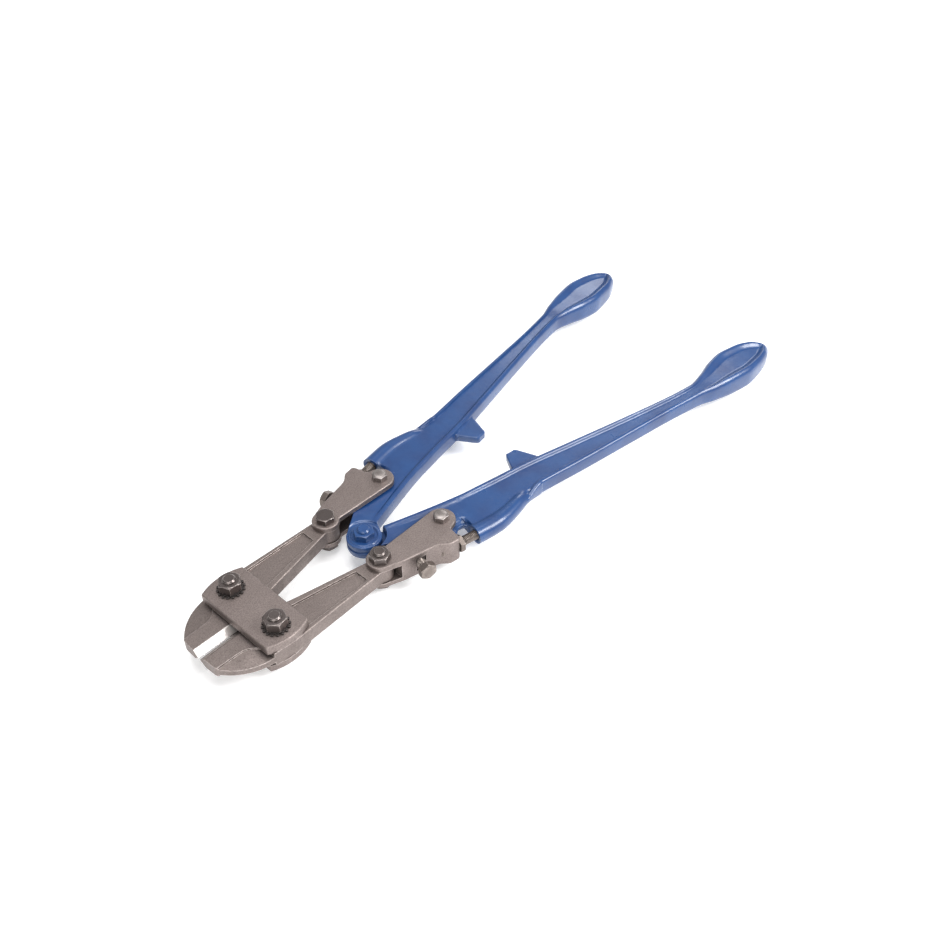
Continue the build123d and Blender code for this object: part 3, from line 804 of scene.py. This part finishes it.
    def socket_cutter(self) -> Surface:
        """A cutter for the socket's bore, with a countersink at its mouth."""
        axis = Axis.of_joint(f"{self.side.word}_adjusting_screw_turn")
        stations = np.array([10.0, 17.4, 18.6, 47.0])
        angles = np.linspace(0.0, 2 * math.pi, 64, endpoint=False)
        radii = np.repeat(np.array([[5.5], [5.5], [4.6], [4.3]]), 64, axis=1)
        return turned(axis, stations, angles, radii)

    def build(self) -> bpy.types.Object:
        """Makes the handle, cuts its bores and sets it on its body.

        Returns:
            The finished piece.
        """
        name = f"{self.side.word}_handle"
        piece = self.surface().piece(f"{name}_forging", 38.0)
        centre_radius = 5.02 if self.eye_on_top else 8.4
        cutters = [
            self.bore(None, centre_radius),
            self.bore(f"{self.side.word}_adjustment", 4.05),
            self.socket_cutter(),
        ]
        for cutter in cutters:
            cut(piece, cutter)
        piece.data.materials.clear()
        piece.data.materials.append(self.enamel)
        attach(piece, f"{name}_body")
        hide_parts(name)
        LOG.info("%s: %d vertices", piece.name, len(piece.data.vertices))
        return piece


def cut(piece: bpy.types.Object, cutter: Surface) -> None:
    """Cuts one closed surface out of a piece and keeps the result as its mesh."""
    tool = cutter.piece("cutter", 30.0)
    boolean = piece.modifiers.new("bore", "BOOLEAN")
    boolean.operation = "DIFFERENCE"
    boolean.solver = "EXACT"
    boolean.object = tool
    evaluated = piece.evaluated_get(bpy.context.evaluated_depsgraph_get())
    result = bpy.data.meshes.new_from_object(evaluated)
    piece.modifiers.clear()
    piece.data = result
    bpy.data.objects.remove(tool)


@dataclass
class AdjustingScrew:
    """The screw between arm and handle: plain shank, hexagonal collar and thread."""

    side: Side
    steel: bpy.types.Material
    shank: float = 16.0
    collar: float = 4.0
    flats: float = 13.0
    thread: float = 46.0
    radius: float = 4.0
    pitch: float = 1.25

    def build(self) -> bpy.types.Object:
        """Makes the screw about its packed axis and sets it on its body."""
        name = f"{self.side.word}_adjusting_screw"
        axis = Axis.of_joint(f"{name}_turn")
        rod = threaded_rod(axis, -self.shank, self.thread, self.radius, self.collar + 0.3, self.pitch)
        collar = hexagon(axis, 0.0, self.collar, self.flats, (False, False))
        piece = Surface.joined([rod, collar]).piece(f"{name}_threaded", 32.0)
        piece.data.materials.append(self.steel)
        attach(piece, f"{name}_body")
        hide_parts(name)
        LOG.info("%s: %d vertices", piece.name, len(piece.data.vertices))
        return piece


@dataclass
class LockScrew:
    """The hexagon screw in the arm's flank."""

    side: Side
    exposed: float
    steel: bpy.types.Material
    depth: float = 16.4
    flats: float = 13.0
    head: float = 5.5
    radius: float = 4.0
    pitch: float = 1.25

    def build(self) -> bpy.types.Object:
        """Makes the screw about its packed axis and sets it on its body."""
        name = f"{self.side.word}_lock_screw"
        axis = Axis.of_joint(f"{name}_turn")
        rod = threaded_rod(axis, -self.depth, self.exposed + 1.0, self.radius, -self.depth, self.pitch)
        head = hexagon(axis, self.exposed, self.exposed + self.head, self.flats, (False, True))
        piece = Surface.joined([rod, head]).piece(f"{name}_threaded", 32.0)
        piece.data.materials.append(self.steel)
        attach(piece, f"{name}_body")
        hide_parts(name)
        LOG.info("%s: %d vertices", piece.name, len(piece.data.vertices))
        return piece


@dataclass
class HandlePin:
    """The pin through arm and handle, whose hexagonal head is turned to a low dome."""

    side: Side
    steel: bpy.types.Material
    flats: float = 11.2
    head: float = 5.0
    radius: float = 4.0

    def build(self) -> bpy.types.Object:
        """Makes the pin on its packed axis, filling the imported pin's height."""
        name = f"{self.side.word}_handle_pin"
        low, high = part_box(name)
        middle = (low + high) / 2
        axis = Axis.upright(np.array([middle.x, middle.y, low.z]))
        top = (high.z - low.z) / MM
        stem = threaded_rod(axis, 0.0, top - 1.0, self.radius, 0.0, 1.25)
        head = hexagon(axis, top - self.head, top, self.flats, (False, True), crown=0.8)
        piece = Surface.joined([stem, head]).piece(f"{name}_domed", 40.0)
        piece.data.materials.append(self.steel)
        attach(piece, f"{self.side.word}_arm_body")
        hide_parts(name)
        LOG.info("%s: %d vertices", piece.name, len(piece.data.vertices))
        return piece


@dataclass
class CadDressing:
    """Gives the carried-over CAD nodes their finishes, by what their names end with."""

    finishes: dict[str, bpy.types.Material]

    def dress(self) -> None:
        """Puts the finish of the longest matching ending on every CAD node that still shows."""
        for name, obj in frame["nodes"].items():
            if obj.hide_render:
                continue
            endings = [e for e in self.finishes if name.endswith(e)]
            chosen = self.finishes[max(endings, key=len)]
            obj.data.materials.clear()
            obj.data.materials.append(chosen)
            LOG.info("%s: %s", name, chosen.name)


@dataclass
class Studio:
    """The pale floor, the soft lights and the camera."""

    lens: float = 41.28
    camera_at: tuple[float, float, float] = (0.5197, 0.4763, 0.6344)
    back: tuple[float, float, float] = (0.5414, 0.5065, 0.6711)
    roll: float = -0.42
    floor_size: float = 40.0

    def camera(self) -> None:
        """Makes the camera from where it stands, the direction behind it and its roll."""
        data = bpy.data.cameras.new("camera")
        data.lens = self.lens
        data.sensor_width = 36.0
        data.clip_start, data.clip_end = 0.01, 100.0
        camera = bpy.data.objects.new("camera", data)
        bpy.context.scene.collection.objects.link(camera)
        back = Vector(self.back).normalized()
        right = Vector((0, 0, 1)).cross(back).normalized()
        up = back.cross(right)
        turn = math.radians(self.roll)
        rolled = right * math.cos(turn) + up * math.sin(turn)
        upright = up * math.cos(turn) - right * math.sin(turn)
        basis = Matrix((rolled, upright, back)).transposed()
        camera.matrix_world = Matrix.Translation(self.camera_at) @ basis.to_4x4()
        bpy.context.scene.camera = camera

    def floor(self) -> None:
        """Makes the floor, a pale sheet under the tool."""
        half = self.floor_size / 2
        mesh = bpy.data.meshes.new("floor")
        corners = [(-half, -half, 0.0), (half, -half, 0.0), (half, half, 0.0), (-half, half, 0.0)]
        mesh.from_pydata(corners, [], [(0, 1, 2, 3)])
        floor = bpy.data.objects.new("floor", mesh)
        bpy.context.scene.collection.objects.link(floor)
        g = NodeGraph("pale_floor")
        mesh.materials.append(g.shader(
            Base_Color=rgb(0.9, 0.9, 0.9), Roughness=0.9, Emission_Color=rgb(1.0, 1.0, 1.0),
            Emission_Strength=0.3,
        ))

    def softbox(self, name: str, at: tuple[float, float, float], size: float, power: float) -> None:
        """Hangs one square softbox that faces the tool."""
        data = bpy.data.lights.new(name, "AREA")
        data.size = size
        data.energy = power
        light = bpy.data.objects.new(name, data)
        light.location = at
        light.rotation_mode = "QUATERNION"
        light.rotation_quaternion = Vector(at).to_track_quat("Z", "Y")
        bpy.context.scene.collection.objects.link(light)

    def lights(self) -> None:
        """A key beside the camera, a weaker one behind, an overhead one and an even white sky."""
        self.softbox("key", (-0.72, 1.2, 1.2), 0.7, 34.0)
        self.softbox("fill", (1.3, 0.9, 0.9), 1.0, 14.0)
        self.softbox("overhead", (-0.1, -0.2, 2.0), 1.2, 27.0)
        self.softbox("rear", (-1.5, -0.9, 0.9), 0.6, 5.0)
        world = bpy.data.worlds.new("studio")
        world.use_nodes = True
        background = world.node_tree.nodes["Background"]
        background.inputs["Color"].default_value = rgb(1.0, 1.0, 1.0)
        background.inputs["Strength"].default_value = 0.42
        bpy.context.scene.world = world

    def build(self) -> None:
        """Sets up the whole studio with plain, unfiltered colours."""
        self.camera()
        self.floor()
        self.lights()
        bpy.context.scene.view_settings.view_transform = "Standard"


def main() -> None:
    """Builds the studio and every sub-assembly in order, and dresses the CAD nodes."""
    logging.basicConfig(level=logging.INFO, format="%(message)s")
    Studio().build()
    enamel = ENAMEL.material()
    screw_steel, pin_steel = SCREW_STEEL.material(), PIN_STEEL.material()
    for side, exposed in ((Side.LEFT, 6.8), (Side.RIGHT, 5.2)):
        Handle(side, side is Side.RIGHT, enamel).build()
        AdjustingScrew(side, screw_steel).build()
        LockScrew(side, exposed, screw_steel).build()
        HandlePin(side, pin_steel).build()
    forged, fastener = FORGED.material(), FASTENER.material()
    CadDressing({
        "_plate": forged, "_arm": forged,
        "right_jaw": BRIGHT_JAW.material(), "left_jaw": SHADED_COPY_JAW.material(),
        "jaw_bolt": fastener, "jaw_nut": fastener, "arm_bolt": fastener, "arm_nut": fastener,
        "handle_pin_nut": fastener,
        "lock_washer": BLACKENED.material(),
        "centre_bolt": enamel, "centre_nut": enamel, "washer": enamel,
    }).dress()


if __name__ == "__main__":
    main()
